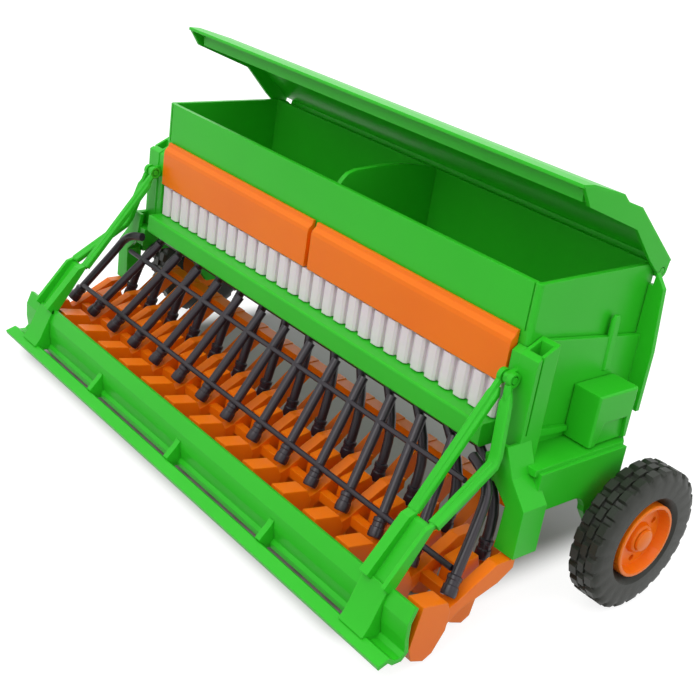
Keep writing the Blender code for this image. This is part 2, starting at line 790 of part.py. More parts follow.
def upright_pieces(name, side, helpers):
    top, rise = UPRIGHT_TOP, UPRIGHT_RISE
    rear, front = -UPRIGHT_REAR, UPRIGHT_FRONT
    slope = rise / (front - rear)
    bottom = SHELF_TOP - SHELF_THICK
    outer = [(rear, top), (front, top + rise), (front, bottom), (rear, bottom)]
    inset = rear + GAP
    inner = [(inset, top - GAP), (-GAP, top + slope * (-GAP - inset)), (-GAP, bottom - GAP), (inset, bottom - GAP)]
    outer_span = span_for(side, SIDE_INNER, SIDE_INNER + UPRIGHT_WIDTH)
    inner_span = span_for(side, HOPPER_HALF - UPRIGHT_INSET, SIDE_INNER + 0.5 * SIDE_PLATE)
    return [
        plate(f"{name}_post", outer, outer_span, helpers),
        plate(f"{name}_post_inner", inner, inner_span, helpers),
    ]


def upright_cuts(name, side, helpers):
    wall = POCKET_WALL
    edge = SIDE_INNER + UPRIGHT_WIDTH
    depth = UPRIGHT_TOP - POCKET_DEPTH
    high = UPRIGHT_TOP + 2.0 * UPRIGHT_RISE
    pocket_x = span_for(side, SIDE_INNER + wall, edge - wall)
    pocket_y = (-UPRIGHT_REAR + 2.0 * wall, UPRIGHT_FRONT - wall - GAP)
    groove_x = span_for(side, edge - POST_GROOVE, edge + POST_GROOVE)
    groove_y = (-0.5 * UPRIGHT_REAR, -0.5 * UPRIGHT_REAR + POST_GROOVE)
    return [
        box(f"{name}_pocket", pocket_x, pocket_y, (depth, high), helpers),
        box(f"{name}_post_groove", groove_x, groove_y, (BEAM_TOP, high), helpers),
    ]


def guard_pieces(name, side, helpers):
    """Bent channel behind the side's lower corner: rear wall, outer wall and inner wall."""
    low = FLOOR + GUARD_FOOT
    root = BEAM_TOP - 0.25 * BEAM_HEIGHT
    out = SIDE_INNER + GUARD_OUT
    edge = SIDE_INNER + UPRIGHT_WIDTH
    wall = GUARD_WALL
    outside = [(edge, root), (edge + 3.0 * wall, BEAM_BOTTOM - 2.0 * wall), (out, BEAM_BOTTOM - 0.0098), (out, low)]
    inside = [(out - 0.0075, low), (out - 0.0065, BEAM_BOTTOM - 0.0117), (edge - 2.0 * wall, BEAM_BOTTOM - 0.0061), (edge - 0.005, root)]
    rear = [(side * x, z) for x, z in outside + inside]
    skin = [(side * x, z) for x, z in outside + [(x - wall, z - 0.3 * wall) for x, z in outside[::-1]]]
    skin[4] = (skin[4][0], low)
    flange = [(side * (out - 0.0069), BEAM_BOTTOM - 0.0117), (side * (out - 0.0056), BEAM_BOTTOM - 0.0117)]
    flange += [(side * (out - 0.0062), low), (side * (out - 0.0075), low)]
    return [
        panel_across(f"{name}_guard", rear, (-GUARD_REAR, -GUARD_REAR + wall), helpers),
        panel_across(f"{name}_guard_skin", skin, (-GUARD_REAR + 0.5 * GAP, GUARD_FRONT), helpers),
        panel_across(f"{name}_guard_flange", flange, (-GUARD_REAR + 0.5 * GAP, -0.5 * GUARD_REAR), helpers),
    ]


def skirt_outline():
    """Hanging side panel whose lower edge sweeps down into the wheel's arm."""
    top = SHELF_TOP - 0.5 * SHELF_THICK
    low = SHELF_TOP - SKIRT_HEIGHT
    arm_rear = WHEEL_Y - 0.0135
    sweep = []
    steps = 5
    for index in range(steps + 1):
        turn = 0.5 * math.pi * index / steps
        y = arm_rear - SKIRT_CURVE + SKIRT_CURVE * math.sin(turn)
        sweep.append((y, low - SKIRT_CURVE + SKIRT_CURVE * math.cos(turn)))
    hub = 2.4 * AXLE_RADIUS
    around = [
        (WHEEL_Y - hub, AXLE_Z - hub),
        (WHEEL_Y + hub, AXLE_Z - hub),
        (WHEEL_Y + hub, AXLE_Z + hub),
        (SKIRT_FRONT, low),
        (SKIRT_FRONT, top),
    ]
    return [(0.0, top), (0.0, low)] + sweep + around


def relief_outline():
    """Raised bridge on the side plate, open at its foot."""
    high, low = BEAM_TOP - SIDE_PLATE, SHELF_TOP - 0.5 * SHELF_THICK
    rear, front, rib = 0.0068, 0.0215, SIDE_PLATE
    return [
        (rear, low),
        (rear, high - rib),
        (rear + rib, high),
        (front, high - rib),
        (front, high - 2.0 * rib),
        (rear + 2.0 * rib, high - 1.6 * rib),
        (rear + 1.2 * rib, high - 2.2 * rib),
        (rear + 1.2 * rib, low),
    ]


def make_side_frame(word, side, parts, helpers, material):
    name = f"side_frame_{word}"
    bottom = SHELF_TOP - SHELF_THICK
    front = HOPPER_DEPTH - GAP
    plate_line = [
        (0.0, UPRIGHT_TOP),
        (UPRIGHT_FRONT - 2.0 * GAP, UPRIGHT_TOP + UPRIGHT_RISE - 3.0 * GAP),
        (front, SIDE_PLATE - HOPPER_FRONT_DROP),
        (front, bottom),
        (0.0, bottom),
    ]
    frame = plate(name, plate_line, span_for(side, SIDE_INNER, SIDE_OUTER), parts)
    pieces = upright_pieces(name, side, helpers) + guard_pieces(name, side, helpers)
    edge = SIDE_INNER + FLANGE_OUT
    flange = [
        (SIDE_INNER, FLANGE_TOP),
        (LID_HALF + GAP, FLANGE_TOP),
        (LID_HALF + 2.0 * GAP, FLANGE_TOP + 0.6 * FLANGE_OUT),
        (edge - SIDE_PLATE, FLANGE_TOP),
        (edge, 0.5 * (FLANGE_TOP + FLANGE_BOTTOM)),
        (edge, FLANGE_BOTTOM),
        (SIDE_INNER, FLANGE_BOTTOM),
    ]
    flange = [(side * x, z) for x, z in flange]
    pieces.append(panel_across(f"{name}_flange", flange, (HOPPER_DEPTH - FLANGE_THICK, HOPPER_DEPTH), helpers))
    shelf = [
        (SIDE_INNER, -0.5 * UPRIGHT_REAR),
        (SKIRT_OUTER - 0.5 * SKIRT_THICK, -0.5 * UPRIGHT_REAR),
        (SKIRT_OUTER - 0.5 * SKIRT_THICK, SKIRT_FRONT - GAP),
        (SIDE_OUTER, HOPPER_DEPTH - 2.0 * GAP),
        (SIDE_INNER, HOPPER_DEPTH - 2.0 * GAP),
    ]
    shelf = [(side * x, y) for x, y in shelf]
    pieces.append(slab(f"{name}_shelf", shelf, (bottom + GAP, SHELF_TOP), helpers))
    skirt_span = span_for(side, SKIRT_INNER, SKIRT_OUTER)
    pieces.append(plate(f"{name}_skirt", skirt_outline(), skirt_span, helpers))
    relief_span = span_for(side, SIDE_INNER + GAP, SIDE_OUTER + SIDE_PLATE)
    pieces.append(plate(f"{name}_relief", relief_outline(), relief_span, helpers))
    web_y = (-GUARD_REAR + 0.5 * GUARD_WALL, -0.3 * UPRIGHT_REAR)
    web_inner = 0.5 * (TUBE_COUNT - 1) * TUBE_PITCH_TOP + TUBE_RADIUS + GAP
    web = [
        (web_inner, BEAM_BOTTOM),
        (SIDE_INNER + UPRIGHT_WIDTH - GAP, BEAM_BOTTOM),
        (SIDE_INNER + UPRIGHT_WIDTH - GAP, BEAM_BOTTOM - WEB_DROP),
        (SIDE_INNER, BEAM_BOTTOM - WEB_DROP),
    ]
    web = [(side * x, z) for x, z in web]
    pieces.append(panel_across(f"{name}_web", web, web_y, helpers))
    axle_span = span_for(side, SKIRT_OUTER - 0.5 * SKIRT_THICK, TYRE_OUTER - AXLE_CAP)
    pieces.append(rod_x(f"{name}_axle", axle_span, WHEEL_Y, AXLE_Z, AXLE_RADIUS, helpers))
    boss_span = span_for(side, SKIRT_OUTER - 0.4 * SKIRT_THICK, TYRE_INNER + TYRE_SHOULDER - GAP)
    pieces.append(rod_x(f"{name}_boss", boss_span, WHEEL_Y, AXLE_Z, 1.8 * AXLE_RADIUS, helpers))
    lug_low = HOPPER_HALF - BOARD_LUG_INSET
    lug_high = lug_low + BOARD_LUG_WIDTH
    reach = BOARD_EYE_WIDTH + GAP
    pin_span = span_for(side, lug_low - reach, lug_high + reach)
    pin = rod_x(f"{name}_board_pin", pin_span, BOARD_AXIS_Y, BOARD_AXIS_Z, BOARD_PIN_RADIUS, helpers, 16)
    drop = BOARD_EYE_RADIUS
    lug = [
        (BOARD_AXIS_Y - 0.7 * drop, BOARD_AXIS_Z - 0.4 * drop),
        (BOARD_AXIS_Y - 0.4 * drop, BOARD_AXIS_Z - 0.7 * drop),
        (-0.5 * UPRIGHT_REAR, BOARD_AXIS_Z - drop),
        (-0.5 * UPRIGHT_REAR, BOARD_AXIS_Z + drop),
        (BOARD_AXIS_Y - 0.4 * drop, BOARD_AXIS_Z + 0.7 * drop),
        (BOARD_AXIS_Y - 0.7 * drop, BOARD_AXIS_Z + 0.4 * drop),
    ]
    pieces += [pin, plate(f"{name}_board_lug", lug, span_for(side, lug_low, lug_high), helpers)]
    combine(frame, "UNION", [joined(f"{name}_set", pieces, helpers)])
    combine(frame, "DIFFERENCE", upright_cuts(name, side, helpers))
    finish(frame, material)


def make_gearbox(parts, helpers, material):
    inner = SIDE_OUTER + GAP
    outer = SIDE_INNER + GEARBOX_OUT
    low, high = GEARBOX_TOP - GEARBOX_HEIGHT, GEARBOX_TOP
    gearbox = box("gearbox", (inner, outer), GEARBOX_Y, (low, high), parts)
    far = outer - GEARBOX_EDGE
    rounded(gearbox, GEARBOX_EDGE, 2, lambda co: co.x > far)
    rear, front = GEARBOX_Y
    recess = [
        (rear + 0.0020, low - GEARBOX_EDGE),
        (rear + 0.0045, low + 0.45 * GEARBOX_HEIGHT),
        (front - 0.0025, low + 0.45 * GEARBOX_HEIGHT),
        (front - 0.0015, low - GEARBOX_EDGE),
    ]
    cut = plate("gearbox_recess", recess, (outer - 2.0 * GEARBOX_EDGE, outer + GEARBOX_EDGE), helpers)
    combine(gearbox, "DIFFERENCE", [cut])
    finish(gearbox, material)


def turned(name, profile, side, collection):
    """Ring turned round the wheel's axle from (radius, depth) points; depth grows outwards."""
    mesh = bpy.data.meshes.new(name)
    points = [(radius, 0.0, depth) for radius, depth in profile]
    count = len(points)
    mesh.from_pydata(points, [(index, (index + 1) % count) for index in range(count)], [])
    obj = bpy.data.objects.new(name, mesh)
    collection.objects.link(obj)
    screw = obj.modifiers.new("turn", "SCREW")
    screw.steps = WHEEL_STEPS
    screw.render_steps = WHEEL_STEPS
    screw.use_merge_vertices = True
    screw.merge_threshold = MERGE
    screw.use_smooth_shade = True
    obj.location = world(side * TYRE_INNER, WHEEL_Y, AXLE_Z)
    obj.rotation_euler.y = side * 0.5 * math.pi
    return obj


def make_wheel(word, side, parts, helpers, tyre_material, rim_material):
    width = TYRE_WIDTH
    radius = WHEEL_RADIUS
    shoulder = TYRE_SHOULDER
    seat = RIM_RADIUS
    tyre_profile = [
        (radius, width - shoulder),
        (radius, shoulder),
        (radius - 0.3 * shoulder, 0.3 * shoulder),
        (radius - shoulder, 0.0),
        (seat + shoulder, 0.3 * shoulder),
        (seat, shoulder),
        (seat, width - 1.8 * shoulder),
        (TYRE_OPENING, width - 0.6 * shoulder),
        (TYRE_OPENING + 0.5 * shoulder, width - 0.1 * shoulder),
        (radius - shoulder, width),
        (radius - 0.3 * shoulder, width - 0.3 * shoulder),
    ]
    tyre = turned(f"tyre_{word}", tyre_profile, side, parts)
    tyre.data.materials.append(tyre_material)
    bore = AXLE_RADIUS + GAP
    hub = RIM_HUB_RADIUS
    face = width - RIM_DISH
    bead = seat - GAP - RIM_BEAD
    rim_profile = [
        (seat - 2.0 * GAP, width),
        (seat - GAP, width - GAP),
        (seat - GAP, shoulder),
        (bore, shoulder),
        (bore, width - AXLE_CAP),
        (hub - 0.3 * shoulder, width - AXLE_CAP),
        (hub, width - AXLE_CAP - 0.3 * shoulder),
        (hub + 0.3 * shoulder, face),
        (bead - 0.5 * shoulder, face),
        (bead, width - 0.5 * shoulder),
        (bead + GAP, width),
    ]
    rim = turned(f"rim_{word}", rim_profile, side, parts)
    middle = 0.5 * (hub + seat - shoulder)
    cuts = []
    for index in range(RIM_SLOT_COUNT):
        turn = 2.0 * math.pi * (index + 0.5) / RIM_SLOT_COUNT
        y = WHEEL_Y + middle * math.cos(turn)
        z = AXLE_Z + middle * math.sin(turn)
        slot_span = span_for(side, TYRE_INNER + face - 2.0 * shoulder, TYRE_OUTER)
        cuts.append(rod_x(f"rim_slot_{word}_{index}", slot_span, y, z, 0.5 * RIM_SLOT, helpers, 8))
    combine(rim, "DIFFERENCE", cuts)
    rim.data.materials.append(rim_material)


def board_slots(helpers):
    """Slots in the gutter, with a thin rib left between neighbours."""
    reach = BOARD_HALF - STRAP_WIDTH
    pitch = 2.0 * reach / BOARD_SLOT_COUNT
    level = FLOOR + BOARD_TOP + BOARD_LINE[4][1]
    depth = (level - 2.0 * BOARD_SKIN, level + 0.3 * BOARD_SKIN)
    cuts = []
    for index in range(BOARD_SLOT_COUNT):
        low = -reach + pitch * index + 0.5 * BOARD_RIB
        span = (low, low + pitch - BOARD_RIB)
        if index == 0:
            span = (span[0] + STRAP_WIDTH, span[1])
        if index == BOARD_SLOT_COUNT - 1:
            span = (span[0], span[1] - STRAP_WIDTH)
        cuts.append(box(f"board_slot_{index}", span, BOARD_SLOT_Y, depth, helpers))
    return cuts


def board_arm(side, helpers):
    """Channel from the board's top to the struts, open to the rear, with its two struts."""
    top = BOARD_AXIS_Z - ARM_TOP_DROP
    foot = FLOOR + BOARD_TOP
    wall = BOARD_SKIN
    low_x, high_x = BOARD_HALF - 0.0200, BOARD_HALF - 0.0095
    back = [
        (ARM_TOP_Y, top),
        (BOARD_LINE[0][0] + wall, foot),
        (BOARD_LINE[0][0] + 0.3 * wall, foot - 1.5 * wall),
        (BOARD_LINE[0][0] - 0.7 * wall, foot - wall),
        (ARM_TOP_Y - wall, top - 0.3 * wall),
    ]
    cheek = [
        (ARM_TOP_Y + 0.3 * wall, top + wall),
        (BOARD_LINE[0][0] + 1.2 * wall, foot - 0.2 * wall),
        (BOARD_LINE[0][0] - 0.5 * wall, foot - 1.2 * wall),
        (BOARD_LINE[0][0] - 2.2 * wall, foot + 0.5 * wall),
        (ARM_TOP_Y - 2.4 * wall, top + 0.2 * wall),
    ]
    return [
        plate(f"board_arm_back_{side}", back, span_for(side, low_x + 0.5 * wall, high_x - 0.5 * wall), helpers),
        plate(f"board_arm_inner_{side}", cheek, span_for(side, low_x, low_x + 2.4 * wall), helpers),
        plate(f"board_arm_outer_{side}", cheek, span_for(side, high_x - wall, high_x), helpers),
    ]


def board_struts(side, helpers):
    lug_low = HOPPER_HALF - BOARD_LUG_INSET
    lug_high = lug_low + BOARD_LUG_WIDTH
    low_x, high_x = BOARD_HALF - 0.0200, BOARD_HALF - 0.0095
    foot = (ARM_TOP_Y - 0.3 * BOARD_SKIN, BOARD_AXIS_Z - ARM_TOP_DROP)
    eyes = {
        "inner": (lug_low - GAP - BOARD_EYE_WIDTH, lug_low - GAP),
        "outer": (lug_high + GAP, lug_high + GAP + BOARD_EYE_WIDTH),
    }
    feet = {"inner": low_x + BOARD_SKIN, "outer": high_x - 0.8 * BOARD_SKIN}
    knee = (side * (high_x - 0.0022), -0.0108, BEAM_BOTTOM + 0.0020)
    knees = {"inner": [], "outer": [knee]}
    pieces = []
    for tag, eye in eyes.items():
        eye_span = span_for(side, *eye)
        eye_name = f"board_eye_{tag}_{side}"
        pieces.append(rod_x(eye_name, eye_span, BOARD_AXIS_Y, BOARD_AXIS_Z, BOARD_EYE_RADIUS, helpers, 16))
        middle = 0.5 * (eye_span[0] + eye_span[1])
        drop = 0.5 * (BOARD_EYE_RADIUS + BOARD_PIN_RADIUS) + GAP
        head = (middle, BOARD_AXIS_Y - 0.7 * drop, BOARD_AXIS_Z - 0.7 * drop)
        line = [head] + knees[tag] + [(side * feet[tag], *foot)]
        pieces.append(tube(f"board_strut_{tag}_{side}", line, STRUT_RADIUS, helpers))
    return pieces


def make_board(parts, helpers, material):
    """Rear board: one bent sheet with slots, straps, arms and the eyes it swings on."""
    line = [(y, FLOOR + BOARD_TOP + z) for y, z in BOARD_LINE]
    board = bent_sheet("rear_board", line[::-1], BOARD_HALF, BOARD_SKIN, parts)
    pieces = []
    bores = []
    for side in (-1, 1):
        pieces += board_arm(side, helpers)
        pieces += board_struts(side, helpers)
        bore_span = span_for(side, HOPPER_HALF - STRAP_WIDTH, HOPPER_HALF + STRAP_WIDTH)
        bore = BOARD_PIN_RADIUS + GAP
        bores.append(rod_x(f"board_bore_{side}", bore_span, BOARD_AXIS_Y, BOARD_AXIS_Z, bore, helpers, 16))
    cuts = bores + board_slots(helpers)
    axis = (0.0, BOARD_AXIS_Y, BOARD_AXIS_Z)
    put_origin(board, axis)
    combine(board, "UNION", pieces)
    combine(board, "DIFFERENCE", cuts)
    finish(board, material)


def make_hitch_frame(parts, helpers, material):
    """Front cross bar with the lower lugs, their pins and the two mast plates."""
    half = SIDE_OUTER - GAP
    rear, front = HITCH_BAR_Y - 0.5 * HITCH_BAR_DEPTH, HITCH_BAR_Y + 0.5 * HITCH_BAR_DEPTH
    top, low = HITCH_BAR_TOP, HITCH_BAR_TOP - HITCH_BAR_HEIGHT
    frame = box("hitch_frame", (-half, half), (rear, front), (low, top), parts)
    tip = HITCH_TIP_Y
    lug = [
        (rear + 2.0 * GAP, top - GAP),
        (front, top - GAP),
        (tip, low - HITCH_BAR_HEIGHT),
        (tip, low - 2.2 * HITCH_BAR_HEIGHT),
        (front + GAP, low - 2.2 * HITCH_BAR_HEIGHT),
        (rear + 2.0 * GAP, low + GAP),
    ]
    mast = [
        (rear + GAP, low + GAP),
        (front - GAP, low + GAP),
        (front + MAST_THICK, top + MAST_HEIGHT),
        (HITCH_BAR_Y, top + MAST_HEIGHT),
    ]
    pieces = []
    for side in (-1, 1):
        inner = 0.5 * HITCH_LUG_SPACING - HITCH_LUG_THICK
        lug_span = span_for(side, inner, inner + HITCH_LUG_THICK)
        pieces.append(plate(f"hitch_lug_{side}", lug, lug_span, helpers))
        pin_span = span_for(side, inner + GAP, inner + HITCH_LUG_THICK + HITCH_PIN_LENGTH)
        pin_z = low - 1.6 * HITCH_BAR_HEIGHT
        pin_y = tip - 2.2 * HITCH_PIN_RADIUS
        pieces.append(rod_x(f"hitch_pin_{side}", pin_span, pin_y, pin_z, HITCH_PIN_RADIUS, helpers, 16))
        mast_inner = 0.5 * MAST_SPACING - MAST_THICK
        mast_span = span_for(side, mast_inner, mast_inner + MAST_THICK)
        pieces.append(plate(f"hitch_mast_{side}", mast, mast_span, helpers))
    top_span = (-0.5 * MAST_SPACING + GAP, 0.5 * MAST_SPACING - GAP)
    top_y = front - 0.5 * MAST_THICK
    top_z = top + MAST_HEIGHT - 2.0 * HITCH_PIN_RADIUS
    pieces.append(rod_x("hitch_top_pin", top_span, top_y, top_z, HITCH_PIN_RADIUS, helpers, 16))
    combine(frame, "UNION", [joined("hitch_set", pieces, helpers)])
    finish(frame, material)


def build():
    clear_scene()
    parts = new_collection("seed_drill", False)
    helpers = new_collection("cutters", True)
    green = new_material("green_plastic", GREEN, 0.35)
    orange = new_material("orange_plastic", ORANGE, 0.35)
    black = new_material("black_plastic", BLACK, 0.45)
    white = new_material("white_plastic", WHITE, 0.45)
    rubber = new_material("tyre_rubber", RUBBER, 0.7)
    make_hopper(parts, helpers, green)
    make_lid(parts, helpers, green)
    make_panels(parts, helpers, orange)
    make_slides(parts, helpers, white)
    make_beam(parts, green)
    make_rear_tubes(parts, helpers, black)
    make_front_tubes(parts, helpers, black)
    make_coulters("rear_coulters", TUBE_COUNT, REAR_SHOE, REAR_ARM, REAR_BAR_Y, REAR_BAR_TOP, parts, helpers, orange)
    count = TUBE_COUNT - 1
    make_coulters("front_coulters", count, FRONT_SHOE, FRONT_ARM, FRONT_BAR_Y, FRONT_BAR_TOP, parts, helpers, orange)
    for word, side in (("right", 1), ("left", -1)):
        make_side_frame(word, side, parts, helpers, green)
        make_wheel(word, side, parts, helpers, rubber, orange)
    make_gearbox(parts, helpers, green)
    make_board(parts, helpers, green)
    make_hitch_frame(parts, helpers, green)


build()
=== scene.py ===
import json
import math

import bmesh
import bpy
import numpy as np
from mathutils import Matrix, Vector


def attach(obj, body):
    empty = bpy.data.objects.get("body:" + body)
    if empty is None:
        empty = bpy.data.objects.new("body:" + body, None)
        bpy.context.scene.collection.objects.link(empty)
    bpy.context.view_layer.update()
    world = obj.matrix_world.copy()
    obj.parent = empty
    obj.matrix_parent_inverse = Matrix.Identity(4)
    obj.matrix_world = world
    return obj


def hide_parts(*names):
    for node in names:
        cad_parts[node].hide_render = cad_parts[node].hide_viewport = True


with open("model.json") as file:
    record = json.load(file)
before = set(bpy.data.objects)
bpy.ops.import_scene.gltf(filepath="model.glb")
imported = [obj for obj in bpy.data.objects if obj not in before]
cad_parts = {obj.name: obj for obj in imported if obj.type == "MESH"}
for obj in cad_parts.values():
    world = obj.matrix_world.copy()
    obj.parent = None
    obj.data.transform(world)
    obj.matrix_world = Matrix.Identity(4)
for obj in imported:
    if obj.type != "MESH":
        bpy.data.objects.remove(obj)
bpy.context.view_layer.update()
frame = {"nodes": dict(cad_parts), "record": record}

cameraSet = {
    "place": (0.27709, -0.24038, 0.20369),  # metres, fitted to the view
    "azimuth": 47.14,
    "elevation": 24.17,
    "roll": 8.76,
    "lens": 59.64,
    "sensor": 36.0,
    "nearest": 0.01,
}


def makeCamera(values):
    # right, up and back are the camera's axes; roll turns right and up about back
    a, e, r = (math.radians(values[key]) for key in ("azimuth", "elevation", "roll"))
    back = Vector((math.sin(a) * math.cos(e), -math.cos(a) * math.cos(e), math.sin(e)))
    flat = Vector((math.cos(a), math.sin(a), 0.0))
    rise = back.cross(flat)
    right = flat * math.cos(r) + rise * math.sin(r)
    up = rise * math.cos(r) - flat * math.sin(r)
    lensData = bpy.data.cameras.new("view")
    lensData.lens = values["lens"]
    lensData.sensor_width = values["sensor"]
    lensData.clip_start = values["nearest"]
    camera = bpy.data.objects.new("view", lensData)
    bpy.context.scene.collection.objects.link(camera)
    turn = Matrix((right, up, back)).transposed().to_4x4()
    camera.matrix_world = Matrix.Translation(values["place"]) @ turn
    bpy.context.scene.camera = camera


lightSet = {
    "softboxes": [  # place, size, watts
        ((0.10, -0.65, 0.85), 0.70, 4.4),
        ((0.85, 0.10, 0.60), 0.60, 1.3),
        ((-0.60, 0.45, 0.70), 0.60, 1.8),
    ],
    "target": (0.0, 0.0, 0.05),
    "fill": 0.80,
}


def seenWhite(nodes, links):
    # 1 for camera, glossy and transmission rays, 0 for the light that falls on things
    path = nodes.new("ShaderNodeLightPath")
    total = path.outputs["Is Camera Ray"]
    for kind in ("Is Glossy Ray", "Is Transmission Ray"):
        more = nodes.new("ShaderNodeMath")
        more.operation = "ADD"
        more.use_clamp = True
        links.new(total, more.inputs[0])
        links.new(path.outputs[kind], more.inputs[1])
        total = more.outputs[0]
    return total


def makeLights(values):
    # square lamps aimed at the drill; the world lights it evenly and is white to seen rays
    for number, (place, size, watts) in enumerate(values["softboxes"]):
        lamp = bpy.data.lights.new(f"softbox{number}", "AREA")
        lamp.shape = "SQUARE"
        lamp.size = size
        lamp.energy = watts
        holder = bpy.data.objects.new(f"softbox{number}", lamp)
        bpy.context.scene.collection.objects.link(holder)
        holder.location = place
        aim = Vector(values["target"]) - Vector(place)
        holder.rotation_euler = aim.to_track_quat("-Z", "Y").to_euler()
    world = bpy.data.worlds.new("studio")
    bpy.context.scene.world = world
    world.use_nodes = True
    nodes, links = world.node_tree.nodes, world.node_tree.links
    nodes.clear()
    fill = nodes.new("ShaderNodeBackground")
    fill.inputs["Strength"].default_value = values["fill"]
    white = nodes.new("ShaderNodeBackground")
    mix = nodes.new("ShaderNodeMixShader")
    out = nodes.new("ShaderNodeOutputWorld")
    fill.inputs["Color"].default_value = (1.0, 1.0, 1.0, 1.0)
    white.inputs["Color"].default_value = (1.0, 1.0, 1.0, 1.0)
    links.new(seenWhite(nodes, links), mix.inputs["Fac"])
    links.new(fill.outputs[0], mix.inputs[1])
    links.new(white.outputs[0], mix.inputs[2])
    links.new(mix.outputs[0], out.inputs["Surface"])


floorSet = {
    "half": 3.0,
    # the floor's own middle grey: white to seen rays where it glows, painted shade in the patch where it
    # doesn't
    "colour": (0.30, 0.30, 0.30, 1.0),
    "rough": 0.9,
    "shine": 0.1,
    "glow": 0.84,
    "under": (-0.006, 0.020, 0.0),  # middle of the patch that doesn't glow, painted shade beneath the drill
    "reach": (0.092, 0.067, 1.0),  # its half sizes; it runs 26 mm past the drill's front
    "fade": 0.016,  # metres over which the glow comes back
}


def makeFloor(values):
    # a flat sheet at z = 0; glow = seen rays * smooth step of the distance past the patch; inside the patch
    # the floor keeps its middle grey as painted shade beneath the drill
    half = values["half"]
    mesh = bpy.data.meshes.new("floor")
    corners = [(-half, -half, 0.0), (half, -half, 0.0), (half, half, 0.0), (-half, half, 0.0)]
    mesh.from_pydata(corners, [], [(0, 1, 2, 3)])
    floor = bpy.data.objects.new("floor", mesh)
    bpy.context.scene.collection.objects.link(floor)
    material = bpy.data.materials.new("floorWithPaintedShade")
    material.use_nodes = True
    nodes, links = material.node_tree.nodes, material.node_tree.links
    shader = nodes["Principled BSDF"]
    shader.inputs["Base Color"].default_value = values["colour"]
    shader.inputs["Roughness"].default_value = values["rough"]
    shader.inputs["Specular IOR Level"].default_value = values["shine"]
    # distance past the patch of painted shade, where the glow is left out so the floor shows its middle
    # grey
    where = nodes.new("ShaderNodeTexCoord").outputs["Object"]
    for operation, vector in (
        ("SUBTRACT", values["under"]), ("ABSOLUTE", None),
        ("SUBTRACT", values["reach"]), ("MAXIMUM", (0.0, 0.0, 0.0)), ("LENGTH", None),
    ):
        step = nodes.new("ShaderNodeVectorMath")
        step.operation = operation
        links.new(where, step.inputs[0])
        if vector:
            step.inputs[1].default_value = vector
        where = step.outputs["Value" if operation == "LENGTH" else "Vector"]
    fade = nodes.new("ShaderNodeMapRange")
    fade.interpolation_type = "SMOOTHSTEP"
    fade.inputs["From Max"].default_value = values["fade"]
    fade.inputs["To Max"].default_value = values["glow"]
    links.new(where, fade.inputs["Value"])
    glow = nodes.new("ShaderNodeMath")
    glow.operation = "MULTIPLY"
    links.new(seenWhite(nodes, links), glow.inputs[0])
    links.new(fade.outputs["Result"], glow.inputs[1])
    shader.inputs["Emission Color"].default_value = (1.0, 1.0, 1.0, 1.0)
    links.new(glow.outputs[0], shader.inputs["Emission Strength"])
    mesh.materials.append(material)


makeCamera(cameraSet)
makeLights(lightSet)
makeFloor(floorSet)
bpy.context.scene.view_settings.view_transform = "Standard"
print("camera, lights and floor are set")

plasticSet = {
    "green_plastic": {
        "colour": (0.034, 0.560, 0.022), "deep": (0.024, 0.490, 0.015),
        "rough": 0.36, "grain": 0.06, "edge": 0.0003, "shine": 0.26, "depth": 0.30,
    },
    "orange_plastic": {
        "colour": (0.970, 0.215, 0.002), "deep": (0.860, 0.155, 0.002),
        "rough": 0.34, "grain": 0.06, "edge": 0.0004, "shine": 0.26, "depth": 0.25,
    },
    "black_plastic": {
        "colour": (0.022, 0.015, 0.024), "deep": (0.012, 0.009, 0.014),
        "rough": 0.32, "grain": 0.08, "edge": 0.0002, "shine": 0.50, "depth": 0.0,
    },
    "white_plastic": {
        "colour": (0.820, 0.740, 0.775), "deep": (0.760, 0.680, 0.725),
        "rough": 0.40, "grain": 0.05, "edge": 0.0002, "shine": 0.35, "depth": 0.25,
    },
    "tyre_rubber": {
        "colour": (0.020, 0.023, 0.016), "deep": (0.009, 0.011, 0.008),
        "rough": 0.48, "grain": 0.30, "edge": 0.0002, "shine": 0.40, "depth": 0.0,
    },
}

mouldingSet = {
    "driftScale": 28.0, "driftDetail": 3.0,
    "grainScale": 900.0, "grainDetail": 2.0, "grainHeight": 0.0001,
    "smoother": 0.05, "rougher": 0.06,  # roughness below and above the plastic's own
    "edgeSamples": 4,
    "lightReach": (0.6, 1.0, 0.4), "lightDepth": 0.0025,  # light passing inside thin walls
}


